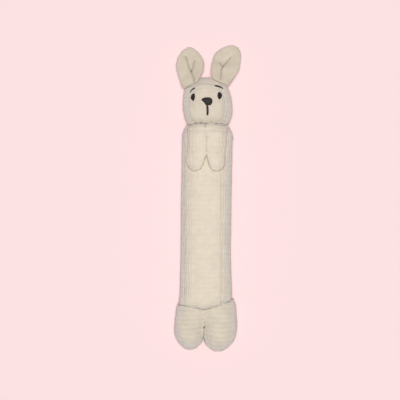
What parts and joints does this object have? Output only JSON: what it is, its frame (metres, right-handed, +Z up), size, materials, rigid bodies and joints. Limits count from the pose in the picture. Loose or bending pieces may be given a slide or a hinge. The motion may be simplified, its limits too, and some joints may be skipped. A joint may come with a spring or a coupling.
{
  "type": "anti-roll bolster cushion",
  "caption": "Long stuffed plush bolster shaped as a bunny with ears, folded arms and round feet, laid beside a baby so that it cannot roll over.",
  "frame": {"origin": "centre of the bounding box, on the surface that the cushion lies on", "axes": "+Y from the feet to the ears, +Z up from the surface through the face, +X to the right seen from above the face"},
  "size_m": [0.132, 0.6, 0.1013],
  "materials": {
    "cream_plush": "soft knitted plush with puffed ribs, cream",
    "ear_velour": "short smooth velour, beige",
    "black_thread": "satin-stitched embroidery thread, black"
  },
  "bodies": {
    "root": {"body": "cream_plush", "head": "cream_plush", "foot_left": "cream_plush", "foot_right": "cream_plush", "arm_left": "cream_plush", "arm_right": "cream_plush", "ear_left": "ear_velour", "ear_right": "ear_velour", "eye_left": "black_thread", "eye_right": "black_thread", "nose": "black_thread", "mouth": "black_thread", "brow_left": "black_thread", "brow_right": "black_thread"}
  },
  "joints": []
}
